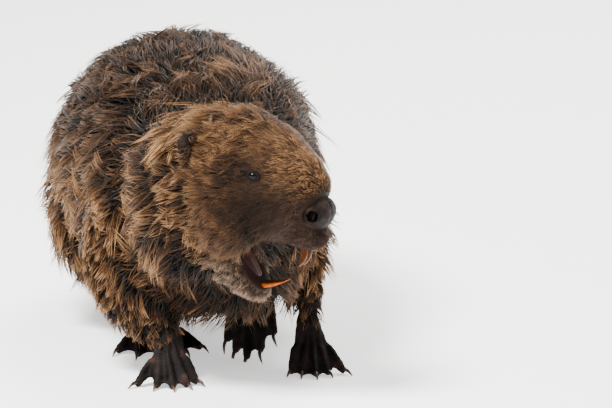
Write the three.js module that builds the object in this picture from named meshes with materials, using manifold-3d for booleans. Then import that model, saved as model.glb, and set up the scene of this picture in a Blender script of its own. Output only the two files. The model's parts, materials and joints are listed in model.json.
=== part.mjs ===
// A life-size European beaver, walking with its head turned to its left and its jaws parted.
// Millimetres, +Z up. It walks towards -Y, its left side is +X, and it stands on the floor at z = 0.
// The solids reach out to the tips of the coat. Each body part that has a name of its own is one mesh.
import * as THREE from "three";
import { mergeVertices } from "three/addons/utils/BufferGeometryUtils.js";
import Module from "manifold-3d";

const wasm = await Module();
wasm.setup();

// ---- Driving dimensions -------------------------------------------------------------------
const GAP = 0.3; // left between neighbours that meet
const FLAT_DEPTH = 1.2; // how far soles and tail are pressed below the floor before they are trimmed
const BACK_HEIGHT = 313; // floor to the top of the back
const BELLY_HEIGHT = 52; // floor to the belly
const HIP_HALF_WIDTH = 140;
const SHOULDER_HALF_WIDTH = 118;
const NOSE = [87, -304, 203]; // tip of the nose
const HEAD_TURN = 54; // degrees to the beaver's left
const HEAD_DIP = 11; // degrees, nose down
const NECK_CUT = -170; // where the neck is parted from the trunk
const EYE_RADIUS = 6;
const INCISOR_APART = 4.6; // from the middle line to the middle of a front tooth
const TAIL_LENGTH = 262; // the bare, scaly blade
const TAIL_HALF_WIDTH = 64;
const TAIL_HALF_THICKNESS = 8;
const FORE_TOE_LENGTHS = [16, 22, 25, 23, 24]; // inner toe first
const FORE_TOE_ANGLES = [-44, -22, -2, 20, 54]; // degrees, positive towards the outer side
const HIND_TOE_LENGTHS = [42, 54, 62, 60, 48];
const HIND_TOE_ANGLES = [-34, -17, -1, 15, 31];
const FORE_CLAW_LENGTH = 12;
const HIND_CLAW_LENGTH = 14;

const UP = new THREE.Vector3(0, 0, 1);
const FORWARD = new THREE.Vector3(0, -1, 0);

const finish = (color, roughness) => new THREE.MeshStandardMaterial({ color, roughness, metalness: 0 });
const COAT = finish(0x4a3223, 0.75);
const FACE_COAT = finish(0x6b4628, 0.75);
const BARE_SKIN = finish(0x241c1a, 0.6);
const TAIL_SKIN = finish(0x35302d, 0.65);
const NOSE_SKIN = finish(0x2e2022, 0.45);
const CLAW_HORN = finish(0x3b2a1f, 0.4);
const EYE_GLOSS = finish(0x0c0807, 0.08);
const TOOTH_ENAMEL = finish(0xc4590f, 0.3);
const TONGUE_SKIN = finish(0x9a5550, 0.4);

// ---- Shapes -------------------------------------------------------------------------------

// A closed body lofted along a smooth line. Each station is [x, y, z, w, up, down]: a point of the line,
// the half width there, and the reach towards top and away from it. caps are the rounded ends' lengths,
// each rounded in that many rings. square tells how boxy the upper and the lower half are; 2 is an ellipse.
function loft(stations, options = {}) {
  const { sides = 12, rings = 2, rounds = 2, top = UP, square = [2, 2], caps = [10, 10], grow = 0 } = options;
  const spine = stations.map(([x, y, z]) => new THREE.Vector3(x, y, z));
  const line = new THREE.CatmullRomCurve3(spine, false, "centripetal");
  const reaches = stations.map(([, , , w, up, down = up]) => new THREE.Vector3(w, up, down).addScalar(grow));
  const sizes = new THREE.CatmullRomCurve3(reaches);
  const spans = (stations.length - 1) * rings;
  const sections = [];
  for (let k = rounds; k > 0; k--) sections.push({ t: 0, slant: -k / (rounds + 1), cap: caps[0] + grow });
  for (let i = 0; i <= spans; i++) sections.push({ t: i / spans, slant: 0, cap: 0 });
  for (let k = 1; k <= rounds; k++) sections.push({ t: 1, slant: k / (rounds + 1), cap: caps[1] + grow });

  const squared = (v, n) => Math.sign(v) * Math.abs(v) ** (2 / n);
  const points = [line.getPoint(0).addScaledVector(line.getTangent(0), -caps[0] - grow)];
  for (const { t, slant, cap } of sections) {
    const along = line.getTangent(t);
    const side = new THREE.Vector3().crossVectors(along, top).normalize();
    const rise = new THREE.Vector3().crossVectors(side, along);
    const angle = (slant * Math.PI) / 2;
    const centre = line.getPoint(t).addScaledVector(along, cap * Math.sin(angle));
    const size = sizes.getPoint(t).multiplyScalar(Math.cos(angle));
    for (let j = 0; j < sides; j++) {
      const a = (j / sides) * 2 * Math.PI;
      const [lift, n] = Math.sin(a) >= 0 ? [size.y, square[0]] : [size.z, square[1]];
      const point = centre.clone().addScaledVector(side, size.x * squared(Math.cos(a), n));
      points.push(point.addScaledVector(rise, lift * squared(Math.sin(a), n)));
    }
  }
  points.push(line.getPoint(1).addScaledVector(line.getTangent(1), caps[1] + grow));

  const faces = [];
  const at = (ring, j) => 1 + ring * sides + (j % sides);
  const last = sections.length - 1;
  for (let j = 0; j < sides; j++) {
    faces.push(0, at(0, j), at(0, j + 1), points.length - 1, at(last, j + 1), at(last, j));
    for (let i = 0; i < last; i++) {
      faces.push(at(i, j), at(i + 1, j), at(i + 1, j + 1), at(i, j), at(i + 1, j + 1), at(i, j + 1));
    }
  }
  return new THREE.BufferGeometry().setFromPoints(points).setIndex(faces);
}

// An ellipsoid, from its centre, its three half sizes and its turns about x, y and z in degrees.
function ball([x, y, z], [rx, ry, rz], { turn = [0, 0, 0], detail = [10, 6] } = {}) {
  const angles = turn.map(THREE.MathUtils.degToRad);
  return new THREE.SphereGeometry(1, ...detail)
    .scale(rx, ry, rz)
    .rotateX(angles[0])
    .rotateY(angles[1])
    .rotateZ(angles[2])
    .translate(x, y, z);
}

// A geometry as a manifold-3d solid, placed by a matrix if one is given.
function solid(geometry, matrix) {
  const bare = geometry.clone();
  if (matrix) bare.applyMatrix4(matrix);
  bare.deleteAttribute("normal");
  bare.deleteAttribute("uv");
  const merged = mergeVertices(bare, 1e-4);
  return new wasm.Manifold(
    new wasm.Mesh({
      numProp: 3,
      vertProperties: new Float32Array(merged.attributes.position.array),
      triVerts: new Uint32Array(merged.index.array),
    }),
  );
}

const joined = (solids) => solids.reduce((all, next) => all.add(next));
const without = (whole, cutters) => cutters.reduce((left, cutter) => left.subtract(cutter), whole);

// The largest piece of a solid that a cut may have split, so that no crumb stays behind.
const mainPiece = (cut) => cut.decompose().sort((a, b) => b.volume() - a.volume())[0];

function geometryOf(made) {
  const { numProp, numVert, vertProperties, triVerts } = made.getMesh();
  const positions = new Float32Array(numVert * 3);
  for (let i = 0; i < numVert; i++) {
    positions.set(vertProperties.subarray(i * numProp, i * numProp + 3), i * 3);
  }
  const geometry = new THREE.BufferGeometry();
  geometry.setAttribute("position", new THREE.BufferAttribute(positions, 3));
  geometry.setIndex(new THREE.BufferAttribute(new Uint32Array(triVerts), 1));
  geometry.computeVertexNormals();
  return geometry;
}

// Where something stands: turned by yaw, pitch and roll, in degrees, and then moved.
function placement([x, y, z], { yaw = 0, pitch = 0, roll = 0, mirror = false } = {}) {
  const rad = THREE.MathUtils.degToRad;
  return new THREE.Matrix4()
    .makeTranslation(x, y, z)
    .multiply(new THREE.Matrix4().makeRotationZ(rad(yaw)))
    .multiply(new THREE.Matrix4().makeRotationX(rad(pitch)))
    .multiply(new THREE.Matrix4().makeRotationY(rad(roll)))
    .multiply(new THREE.Matrix4().makeScale(mirror ? -1 : 1, 1, 1));
}

// ---- Trunk and neck -----------------------------------------------------------------------

function trunk(grow = 0) {
  const mid = 166; // height of the widest line at the hips
  return solid(
    loft(
      [
        [-10, -212, 184, 66, 58, 72],
        [-8, -170, 178, 94, 90, 108],
        [-7, -110, 170, SHOULDER_HALF_WIDTH, 112, 112],
        [-8, -30, mid, 130, BACK_HEIGHT - 12 - mid, mid - BELLY_HEIGHT],
        [-9, 60, mid, HIP_HALF_WIDTH - 1, BACK_HEIGHT - 1 - mid, mid - BELLY_HEIGHT],
        [-8, 140, mid - 2, HIP_HALF_WIDTH, BACK_HEIGHT - 4 - mid, mid - 4 - BELLY_HEIGHT],
        [-4, 215, mid - 12, 124, 125, 94],
        [0, 272, mid - 34, 96, 100, 78],
        [0, 318, mid - 62, 66, 66, 56],
      ],
      { sides: 20, square: [2, 2.45], caps: [26, 24], grow },
    ),
  );
}

function neck(grow = 0) {
  return solid(
    loft(
      [
        [-2, -110, 180, 100, 92, 100],
        [-10, -165, 193, 97, 86, 104],
        [-18, -215, 203, 84, 82, 98],
        [-8, -248, 206, 70, 72, 84],
      ],
      { sides: 12, rings: 1, rounds: 1, caps: [20, 12], square: [2.1, 2.3], grow },
    ),
  );
}

// All that lies in front of an upright plane across the animal.
function inFrontOf(y) {
  return solid(new THREE.BoxGeometry(2000, 2000, 2000).translate(0, y - 1000, 0));
}

// ---- Head, modelled facing -Y with the tip of the nose at its own origin ----------------------

const HEAD = placement(NOSE, { yaw: HEAD_TURN, pitch: HEAD_DIP });
const EYE = [49.5, 66, 24]; // mirrored for the right side
const EAR = [60, 137, 28];

function skull(grow = 0) {
  return solid(
    loft(
      [
        [0, 160, 0, 58, 52, 60],
        [0, 132, 2, 67, 68, 68],
        [0, 100, 4, 66, 72, 72],
        [0, 70, 2, 56, 63, 60],
        [0, 42, -7, 44, 53, 45],
        [0, 24, -15, 37, 42, 36],
        [0, 12, -20, 30, 31, 30],
      ],
      { sides: 16, rings: 1, square: [2.1, 2.6], caps: [14, 8], grow },
    ),
    HEAD,
  );
}

const grown = (sizes, grow) => sizes.map((size) => size + grow);

function cheek(side, grow = 0) {
  return solid(ball([side * 36, 98, -30], grown([30, 46, 42], grow)), HEAD);
}

function lip(grow = 0) {
  return solid(ball([0, 14, -33], grown([29, 18, 18], grow)), HEAD);
}

// The hollow of the mouth under the roof of the palate.
function palate() {
  return solid(ball([0, 50, -60], [17, 30, 15], { detail: [8, 5] }), HEAD);
}

function nose(grow = 0) {
  return solid(ball([0, 10, -9], grown([21, 14, 16], grow)), HEAD);
}

function nostril(side) {
  return solid(ball([side * 15, -1, -8], [3.6, 8, 3.2], { turn: [0, 0, side * 40], detail: [6, 4] }), HEAD);
}

function lowerJaw(grow = 0) {
  return solid(
    loft(
      [
        [0, 128, -52, 55, 26, 30],
        [0, 96, -80, 43, 24, 27],
        [0, 72, -97, 30, 14, 22],
        [0, 56, -105, 20, 8, 14],
      ],
      { rings: 1, caps: [12, 9], grow },
    ),
    HEAD,
  );
}

function tongue(grow = 0) {
  return solid(
    loft(
      [
        [0, 98, -57, 14, 7, 7],
        [0, 82, -72, 13, 7, 7],
        [0, 68, -85, 10, 5, 6],
      ],
      { sides: 8, rings: 1, rounds: 1, caps: [6, 8], grow },
    ),
    HEAD,
  );
}

// One front tooth. side is +1 for the left one.
function incisor(side, upper, grow = 0) {
  const x = side * INCISOR_APART;
  const path = upper
    ? [
        [x, 23, -38, 4.1, 4, 4],
        [x, 16, -50, 4.1, 3.6, 3.6],
        [x, 16, -59, 4, 2.6, 2.6],
        [x, 19, -66, 3.8, 0.9, 0.9],
      ]
    : [
        [x, 78, -107, 4, 4, 4],
        [x, 60, -99, 4, 3.6, 3.6],
        [x, 46, -94.5, 3.8, 2.8, 2.8],
        [x, 33, -87, 3.4, 0.9, 0.9],
      ];
  const shape = { sides: 6, rings: 1, rounds: 1, caps: [3, 1.2], square: [2.6, 2.6] };
  return solid(loft(path, { ...shape, top: upper ? FORWARD : UP, grow }), HEAD);
}

function eye(side, grow = 0) {
  const r = EYE_RADIUS + grow;
  return solid(ball([side * EYE[0], EYE[1], EYE[2]], [r, r, r]), HEAD);
}

// A small round ear, hollow on the side that faces forwards and outwards.
function ear(side) {
  const turn = [-14, side * 10, side * 44];
  const [x, y, z] = EAR;
  const shell = ball([side * x, y, z + 6], [14, 6.5, 18], { turn });
  const bowl = ball([side * (x + 2.5), y - 6, z + 9], [10, 5.5, 13.5], { turn });
  return solid(shell, HEAD).subtract(solid(bowl, HEAD));
}

// ---- Legs ---------------------------------------------------------------------------------

const FORE_LEG = {
  left: [
    [66, -98, 178, 42, 50, 50],
    [86, -86, 116, 32, 34, 40],
    [90, -112, 78, 19, 21, 22],
    [90, -136, 50, 15, 14, 14],
  ],
  right: [
    [-82, -108, 178, 46, 50, 52],
    [-98, -100, 116, 44, 40, 44],
    [-88, -138, 78, 38, 31, 34],
    [-62, -172, 50, 19, 16, 17],
  ],
};

const HIND_LEG = {
  left: [
    [76, 112, 152, 58, 84, 84],
    [80, 66, 104, 52, 66, 62],
    [62, 26, 88, 28, 28, 28],
    [62, -2, 78, 17, 18, 18],
  ],
  right: [
    [-94, 112, 152, 58, 84, 84],
    [-98, 76, 102, 56, 70, 66],
    [-80, 62, 62, 32, 34, 32],
    [-62, 66, 40, 17, 18, 17],
  ],
};

function leg(stations, grow = 0) {
  return solid(loft(stations, { sides: 12, top: FORWARD, caps: [24, 8], grow }));
}

// ---- Feet, modelled facing -Y with the floor at z = 0, the left foot's inner side towards -X ---

const onFloor = (x, y, angle, length) => {
  const a = THREE.MathUtils.degToRad(angle);
  return [x + Math.sin(a) * length, y - Math.cos(a) * length];
};

// The knuckle, middle joint and tip of each toe, with their radii.
function foreToes(spread) {
  return FORE_TOE_LENGTHS.map((length, i) => {
    const angle = FORE_TOE_ANGLES[i] * spread;
    const knuckle = [(i - 2) * 7.5, Math.abs(i - 2) * 2 - 6, 25];
    const [mx, my] = onFloor(knuckle[0], knuckle[1], angle, length * 0.5);
    const [tx, ty] = onFloor(knuckle[0], knuckle[1], angle, length);
    return { angle, joints: [[...knuckle, 8.5], [mx, my, 16, 7], [tx, ty, 5.2, 5.6]] };
  });
}

function hindToes(spread) {
  return HIND_TOE_LENGTHS.map((length, i) => {
    const angle = HIND_TOE_ANGLES[i] * spread;
    const knuckle = [(i - 2) * 10.5, Math.abs(i - 2) * 3, 13];
    const [mx, my] = onFloor(knuckle[0], knuckle[1], angle, length * 0.52);
    const [tx, ty] = onFloor(knuckle[0], knuckle[1], angle, length);
    return { angle, joints: [[...knuckle, 9.5], [mx, my, 10, 7.2], [tx, ty, 5.4, 5.8]] };
  });
}

function toe({ joints }) {
  const stations = joints.map(([x, y, z, r]) => [x, y, z, r, r]);
  return loft(stations, { sides: 5, rings: 1, rounds: 1, caps: [5, 4] });
}

// A curved claw that starts inside the toe's tip and ends just above the floor.
function claw({ angle, joints }, length, grow = 0) {
  const [x, y, z, r] = joints[2];
  const [bx, by] = onFloor(x, y, angle, -3);
  const [mx, my] = onFloor(x, y, angle, length * 0.5);
  const [tx, ty] = onFloor(x, y, angle, length);
  const path = [
    [bx, by, z + 1.6, 3.2, 3],
    [mx, my, z + 1.8, 2.7, 2.6],
    [tx, ty, 2.2, 0.9, 0.8],
  ];
  return loft(path, { sides: 4, rings: 1, rounds: 0, caps: [2, 3], grow });
}

const WEB_THICKNESS = 3;
const WEB_HEIGHT = 4.2; // sole to the underside of the web

// The skin stretched between two neighbouring hind toes, a plate with a hollow front edge.
function web(a, b) {
  const [ka, ma, ta] = a.joints;
  const [kb, mb, tb] = b.joints;
  const shape = new THREE.Shape();
  shape.moveTo(ka[0], ka[1]);
  shape.lineTo(ma[0], ma[1]);
  shape.lineTo(ta[0], ta[1]);
  const drawnBack = 0.3; // share of the way from the tips to the knuckles
  const hollow = (i) => ((ta[i] + tb[i]) / 2) * (1 - drawnBack) + ((ka[i] + kb[i]) / 2) * drawnBack;
  shape.quadraticCurveTo(hollow(0), hollow(1), tb[0], tb[1]);
  shape.lineTo(mb[0], mb[1]);
  shape.lineTo(kb[0], kb[1]);
  const settings = { depth: WEB_THICKNESS, bevelEnabled: false, curveSegments: 2 };
  return new THREE.ExtrudeGeometry(shape, settings).translate(0, 0, WEB_HEIGHT);
}

function forePalm() {
  const wristToKnuckles = [
    [0, 16, 56, 14, 13],
    [0, 10, 40, 16, 12],
    [0, 0, 24, 19, 11],
    [0, -6, 21, 17, 9],
  ];
  return loft(wristToKnuckles, { sides: 8, rings: 1, rounds: 1, top: FORWARD, caps: [6, 5] });
}

function hindSole() {
  const heelToKnuckles = [
    [0, 84, 34, 15, 16, 17],
    [0, 70, 18, 15, 17, 15],
    [0, 34, 15, 19, 14, 13],
    [0, 2, 13, 26, 12, 11],
  ];
  return loft(heelToKnuckles, { sides: 8, rings: 1, rounds: 1, caps: [8, 8] });
}

const FOREFOOT = {
  toes: foreToes,
  clawLength: FORE_CLAW_LENGTH,
  body: () => [forePalm()],
};

const HINDFOOT = {
  toes: hindToes,
  clawLength: HIND_CLAW_LENGTH,
  body: (toes) => [hindSole(), ...toes.slice(1).map((next, i) => web(toes[i], next))],
};

// One foot and its claws. Whatever the foot's turn, its lowest toe is pressed to the floor and trimmed flat.
function foot(kind, spread, spot, turn, above) {
  const toes = kind.toes(spread);
  const local = joined([...kind.body(toes), ...toes.map(toe)].map((g) => solid(g)));
  const shape = geometryOf(local);
  shape.applyMatrix4(placement([0, 0, 0], turn));
  shape.computeBoundingBox();
  const matrix = placement([spot[0], spot[1], -shape.boundingBox.min.z - FLAT_DEPTH], turn);
  const upright = (g) => solidFacingOut(g, matrix, turn.mirror);
  const claws = toes.map((t) => upright(claw(t, kind.clawLength)));
  const sockets = toes.map((t) => upright(claw(t, kind.clawLength, GAP)));
  const cut = without(upright(geometryOf(local)), [...above, ...sockets]);
  return { body: mainPiece(aboveFloor(cut)), claws: claws.map(aboveFloor) };
}

// A mirrored geometry has its faces turned round, so that they point out again.
function solidFacingOut(geometry, matrix, mirror) {
  const placed = geometry.clone().applyMatrix4(matrix);
  if (mirror) {
    const index = Array.from(placed.index.array);
    for (let i = 0; i < index.length; i += 3) {
      [index[i + 1], index[i + 2]] = [index[i + 2], index[i + 1]];
    }
    placed.setIndex(index);
  }
  return solid(placed);
}

const FLOOR_BLOCK = solid(new THREE.BoxGeometry(2000, 2000, 200).translate(0, 0, -100));
const aboveFloor = (whole) => whole.subtract(FLOOR_BLOCK);

// ---- Tail ---------------------------------------------------------------------------------

const TAIL_START = 388; // y where the fur ends and the scales begin

function tailBase(grow = 0) {
  return solid(
    loft(
      [
        [0, 296, 112, 66, 58, 56],
        [0, 334, 74, 53, 47, 44],
        [0, 366, 42, 42, 32, 30],
        [0, TAIL_START, 22, 34, 19, 21],
      ],
      { sides: 12, rings: 1, rounds: 1, caps: [16, 10], grow },
    ),
  );
}

function tailBlade() {
  const h = TAIL_HALF_THICKNESS;
  const station = (share, width, thickness) => [
    0,
    TAIL_START + share * (TAIL_LENGTH - 40),
    thickness - FLAT_DEPTH,
    width * TAIL_HALF_WIDTH,
    thickness,
  ];
  return solid(
    loft(
      [
        [0, TAIL_START - 14, 24, 29, 15, 17],
        station(0.1, 0.62, 13),
        station(0.27, 0.86, h + 1.5),
        station(0.5, 0.98, h),
        station(0.76, 1, h - 2),
        station(1, 0.78, h - 3.5),
      ],
      { sides: 12, rings: 1, caps: [4, 40] },
    ),
  );
}

// ---- Assembly -----------------------------------------------------------------------------

const beaver = new THREE.Group();

function add(name, made, material) {
  const mesh = new THREE.Mesh(geometryOf(made), material);
  mesh.name = name;
  beaver.add(mesh);
}

const SIDES = [
  ["left", 1],
  ["right", -1],
];
const torsoSocket = joined([trunk(GAP), neck(GAP)]);
const tongueSocket = tongue(GAP);
const headSockets = [skull(GAP), lip(GAP), ...SIDES.map(([, side]) => cheek(side, GAP))];

const torso = without(joined([trunk(), neck()]), [...headSockets, lowerJaw(GAP), tongueSocket]);
add("trunk", mainPiece(torso.subtract(inFrontOf(NECK_CUT))), COAT);
add("neck", mainPiece(torso.intersect(inFrontOf(NECK_CUT - GAP))), COAT);

const faceSockets = [
  palate(),
  nose(GAP),
  tongueSocket,
  ...SIDES.flatMap(([, side]) => [eye(side, GAP), incisor(side, true, GAP)]),
];
const wholeHead = joined([skull(), lip(), ...SIDES.map(([, side]) => cheek(side))]);
add("head", mainPiece(without(wholeHead, faceSockets)), FACE_COAT);
add("nose", without(nose(), SIDES.map(([, side]) => nostril(side))), NOSE_SKIN);
const lowerSockets = [tongueSocket, ...SIDES.map(([, side]) => incisor(side, false, GAP))];
add("lower_jaw", mainPiece(without(lowerJaw(), [...headSockets, ...lowerSockets])), FACE_COAT);
add("tongue", mainPiece(tongue()), TONGUE_SKIN);

for (const [name, side] of SIDES) {
  add(`eye_${name}`, eye(side), EYE_GLOSS);
  add(`ear_${name}`, mainPiece(without(ear(side), [...headSockets, torsoSocket])), BARE_SKIN);
  add(`upper_incisor_${name}`, incisor(side, true), TOOTH_ENAMEL);
  add(`lower_incisor_${name}`, incisor(side, false), TOOTH_ENAMEL);
}

const FEET = [
  ["fore", "left", FOREFOOT, 0.7, FORE_LEG.left, [90, -148], { yaw: 2 }],
  ["fore", "right", FOREFOOT, 1, FORE_LEG.right, [-60, -182], { yaw: -2, mirror: true }],
  ["hind", "left", HINDFOOT, 0.45, HIND_LEG.left, [48, -58], { yaw: -20, pitch: 50, roll: -30 }],
  ["hind", "right", HINDFOOT, 0.9, HIND_LEG.right, [-52, -12], { yaw: -2, mirror: true }],
];
for (const [end, name, kind, spread, stations, spot, turn] of FEET) {
  add(`${end}_leg_${name}`, mainPiece(leg(stations).subtract(torsoSocket)), COAT);
  const { body, claws } = foot(kind, spread, spot, turn, [leg(stations, GAP), torsoSocket]);
  add(`${end}_foot_${name}`, body, BARE_SKIN);
  claws.forEach((made, i) => add(`${end}_claw_${name}_${i + 1}`, made, CLAW_HORN));
}

add("tail_base", mainPiece(aboveFloor(tailBase().subtract(torsoSocket))), COAT);
add("tail_blade", mainPiece(aboveFloor(tailBlade().subtract(tailBase(GAP)))), TAIL_SKIN);

// The origin is on the floor, under the middle of the whole animal.
const bounds = new THREE.Box3().setFromObject(beaver);
const middle = bounds.getCenter(new THREE.Vector3());
beaver.children.forEach((mesh) => mesh.geometry.translate(-middle.x, -middle.y, -bounds.min.z));

export default beaver;
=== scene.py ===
# %% [markdown]
# # A beaver, walking and looking to its left
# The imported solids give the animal's outline out to the tips of its wet coat. This script puts the real
# surfaces inside them: one skin, a coat of mesh locks rooted in it, and the hard and bare pieces, which
# are the eyes, nose, teeth, tongue, whiskers, claws and the scales of the tail.

# %% Load the frame
import json
import math

import bpy
import numpy as np
from mathutils import Matrix, Vector
from mathutils.bvhtree import BVHTree
from mathutils.kdtree import KDTree

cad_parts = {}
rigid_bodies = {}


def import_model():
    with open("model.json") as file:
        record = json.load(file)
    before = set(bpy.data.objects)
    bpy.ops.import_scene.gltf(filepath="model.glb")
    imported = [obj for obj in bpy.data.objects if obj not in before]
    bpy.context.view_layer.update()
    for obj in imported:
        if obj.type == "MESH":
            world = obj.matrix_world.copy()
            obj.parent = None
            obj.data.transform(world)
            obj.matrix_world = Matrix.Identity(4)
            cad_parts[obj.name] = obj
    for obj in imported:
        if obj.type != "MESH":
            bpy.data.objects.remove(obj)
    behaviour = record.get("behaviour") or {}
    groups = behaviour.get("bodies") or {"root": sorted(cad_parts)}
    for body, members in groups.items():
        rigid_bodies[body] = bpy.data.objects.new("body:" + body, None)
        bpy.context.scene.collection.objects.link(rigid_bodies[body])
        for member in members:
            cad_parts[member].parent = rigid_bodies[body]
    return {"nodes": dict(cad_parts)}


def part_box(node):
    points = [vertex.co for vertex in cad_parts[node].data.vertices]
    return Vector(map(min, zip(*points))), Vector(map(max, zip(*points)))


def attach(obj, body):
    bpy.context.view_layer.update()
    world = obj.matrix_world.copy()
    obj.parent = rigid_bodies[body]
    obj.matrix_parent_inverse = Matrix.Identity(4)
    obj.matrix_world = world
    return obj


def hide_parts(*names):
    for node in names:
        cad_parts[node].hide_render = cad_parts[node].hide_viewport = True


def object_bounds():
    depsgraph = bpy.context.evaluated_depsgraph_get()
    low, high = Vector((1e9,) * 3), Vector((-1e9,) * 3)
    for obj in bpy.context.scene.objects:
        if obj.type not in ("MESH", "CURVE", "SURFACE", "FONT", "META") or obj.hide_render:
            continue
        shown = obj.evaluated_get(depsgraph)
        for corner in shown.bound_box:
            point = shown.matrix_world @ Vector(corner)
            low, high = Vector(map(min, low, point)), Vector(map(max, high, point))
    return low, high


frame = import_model()
nodes = frame["nodes"]
cad_box = [list(corner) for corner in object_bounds()]
MM = 0.001
rng = np.random.default_rng(7)
print("solids loaded:", len(nodes), "box", cad_box)

# %% [markdown]
# ## Camera, floor and light
# The animal is seen from a little above and nearly from in front, through a long lens aimed at the muzzle,
# so that its hips look nearly as big as its head. The floor is plain and pale, and three large soft lamps
# and a pale sky stand in for an overcast day.


# %% Camera
def middle_of(node):
    low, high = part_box(node)
    return (low + high) / 2


def add_object(name, data):
    """Puts a mesh, a camera or a lamp into the scene as a new object."""
    made = bpy.data.objects.new(name, data)
    bpy.context.scene.collection.objects.link(made)
    return made


CAMERA_AZIMUTH, CAMERA_ELEVATION, CAMERA_DISTANCE = -8, 12, 7.5
FRAME_WIDTH = 0.612  # how much the picture takes in, at the muzzle
SENSOR_WIDTH = 36
AIM_FROM_NOSE = Vector((-0.011, 0.020, 0.006))


def direction(azimuth, elevation):
    """A unit vector, from degrees. Azimuth 0 is towards -Y, where the animal walks, and 90 towards +X."""
    around, above = math.radians(azimuth), math.radians(elevation)
    level = math.cos(above)
    return Vector((math.sin(around) * level, -math.cos(around) * level, math.sin(above)))


towards_camera = direction(CAMERA_AZIMUTH, CAMERA_ELEVATION)
aim = middle_of("nose") + AIM_FROM_NOSE
camera = add_object("camera", bpy.data.cameras.new("camera"))
camera.location = aim + towards_camera * CAMERA_DISTANCE
camera.rotation_euler = (-towards_camera).to_track_quat("-Z", "Y").to_euler()
camera.data.sensor_width = SENSOR_WIDTH
camera.data.lens = SENSOR_WIDTH * CAMERA_DISTANCE / FRAME_WIDTH
camera.data.clip_end = 100
bpy.context.scene.camera = camera
print("lens", round(camera.data.lens), "mm")


# %% Helpers for materials
def linear(hex_colour):
    """An sRGB hex colour as the linear RGBA that a shader socket takes."""
    channels = [int(hex_colour[i : i + 2], 16) / 255 for i in (1, 3, 5)]
    return (*[c / 12.92 if c <= 0.04045 else ((c + 0.055) / 1.055) ** 2.4 for c in channels], 1)


def new_material(name, **shader_values):
    """A material, its nodes and its shader. Values are given by socket name, with _ for a space."""
    made = bpy.data.materials.new(name)
    made.use_nodes = True
    shader = made.node_tree.nodes["Principled BSDF"]
    for key, value in shader_values.items():
        shader.inputs[key.replace("_", " ")].default_value = value
    print("material:", name)
    return made, made.node_tree, shader


def wire(shader, **outputs):
    """Links nodes' outputs to the shader, by socket name with _ for a space."""
    for key, output in outputs.items():
        shader.id_data.links.new(output, shader.inputs[key.replace("_", " ")])


def add_node(tree, kind, settings=None, output=0, stops=(), **inputs):
    """Adds a shader node and returns one of its outputs. settings are its properties, stops are a colour
    ramp's positions and colours, and inputs are values or links, by socket name or by number, as in i6."""
    made = tree.nodes.new("ShaderNode" + kind)
    for key, value in (settings or {}).items():
        setattr(made, key, value)
    for key, value in inputs.items():
        numbered = key[0] == "i" and key[1:].isdigit()
        socket = made.inputs[int(key[1:])] if numbered else made.inputs[key.replace("_", " ")]
        if isinstance(value, bpy.types.NodeSocket):
            tree.links.new(value, socket)
        else:
            socket.default_value = value
    for i, (position, colour) in enumerate(stops):
        stop = made.color_ramp.elements[i] if i < 2 else made.color_ramp.elements.new(position)
        stop.position, stop.color = position, linear(colour)
    return made.outputs[output]


def covered(tree, colour, marking, cover):
    """A colour with another over it where the mesh's attribute of this name is 1."""
    share = add_node(tree, "Attribute", {"attribute_name": marking}, output="Fac")
    return add_node(tree, "Mix", {"data_type": "RGBA"}, output=2, i0=share, i6=colour, i7=cover)


# %% Floor
def started(name, add, **settings):
    """A new object from one of Blender's primitives, with nothing else selected."""
    bpy.ops.object.select_all(action="DESELECT")
    add(**settings)
    bpy.context.object.name = name
    return bpy.context.object


floor = started("floor", bpy.ops.mesh.primitive_plane_add, size=60)
PAPER, GLOW = linear("#FAFAF9"), linear("#FFFFFF")
# Matt white paint, which glows a little so that the far floor doesn't fall to grey.
floor_paint, _, _ = new_material(
    "pale floor paint", Base_Color=PAPER, Roughness=0.9, Emission_Color=GLOW, Emission_Strength=0.7
)
floor.data.materials.append(floor_paint)


# %% Lamps and sky
def soft_lamp(name, azimuth, elevation, distance, size, power):
    """A round lamp that points at the origin. Angles are in degrees, lengths in metres, power in watts."""
    place = direction(azimuth, elevation) * distance
    lamp = add_object(name, bpy.data.lights.new(name, "AREA"))
    lamp.data.shape = "DISK"
    lamp.data.size = size
    lamp.data.energy = power
    lamp.location = place
    lamp.rotation_euler = (-place).to_track_quat("-Z", "Y").to_euler()
    print(name, [round(c, 2) for c in place])


soft_lamp("key lamp", -40, 55, 2.6, 0.8, 210)
soft_lamp("fill lamp", 62, 30, 3.0, 1.8, 20)
soft_lamp("rim lamp", 150, 48, 3.0, 1.4, 130)
world = bpy.data.worlds.new("sky")
bpy.context.scene.world = world
world.use_nodes = True
sky = world.node_tree.nodes["Background"]
sky.inputs["Color"].default_value = linear("#FBF8F3")
sky.inputs["Strength"].default_value = 0.8

# %% [markdown]
# ## The skin
# Under the coat the animal is one unbroken skin. The solids of flesh are copied, grown a little so that
# the cuts between them close, and melted into one mesh by a voxel remesh. Each point then takes the hair of
# the solid nearest to it, and sinks into the body by the depth of the coat.

# %% Which solids are flesh, and what grows on them
# coat depth and hair length in mm, hairs' density as a share, and how much the facets are smoothed away
FLESH = {
    "trunk": (15, 52, 1.0, 1.0),
    "neck": (12, 44, 1.15, 1.0),
    "head": (6, 20, 2.4, 0.6),
    "lower_jaw": (4, 12, 2.6, 0.6),
    "fore_leg_left": (5, 15, 2.0, 0.8),
    "fore_leg_right": (7, 16, 2.0, 0.8),
    "hind_leg_left": (10, 32, 1.3, 0.9),
    "hind_leg_right": (11, 34, 1.2, 0.9),
    "tail_base": (8, 27, 1.4, 0.9),
    "fore_foot_left": (0.5, 0, 0, 0.06),
    "fore_foot_right": (0.5, 0, 0, 0.06),
    "hind_foot_left": (0.5, 0, 0, 0.08),
    "hind_foot_right": (0.5, 0, 0, 0.08),
    "ear_left": (0.5, 3, 2.5, 0.15),
    "ear_right": (0.5, 3, 2.5, 0.15),
    "tail_blade": (1.0, 0, 0, 0.5),
}
PARTS = list(FLESH)


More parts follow.
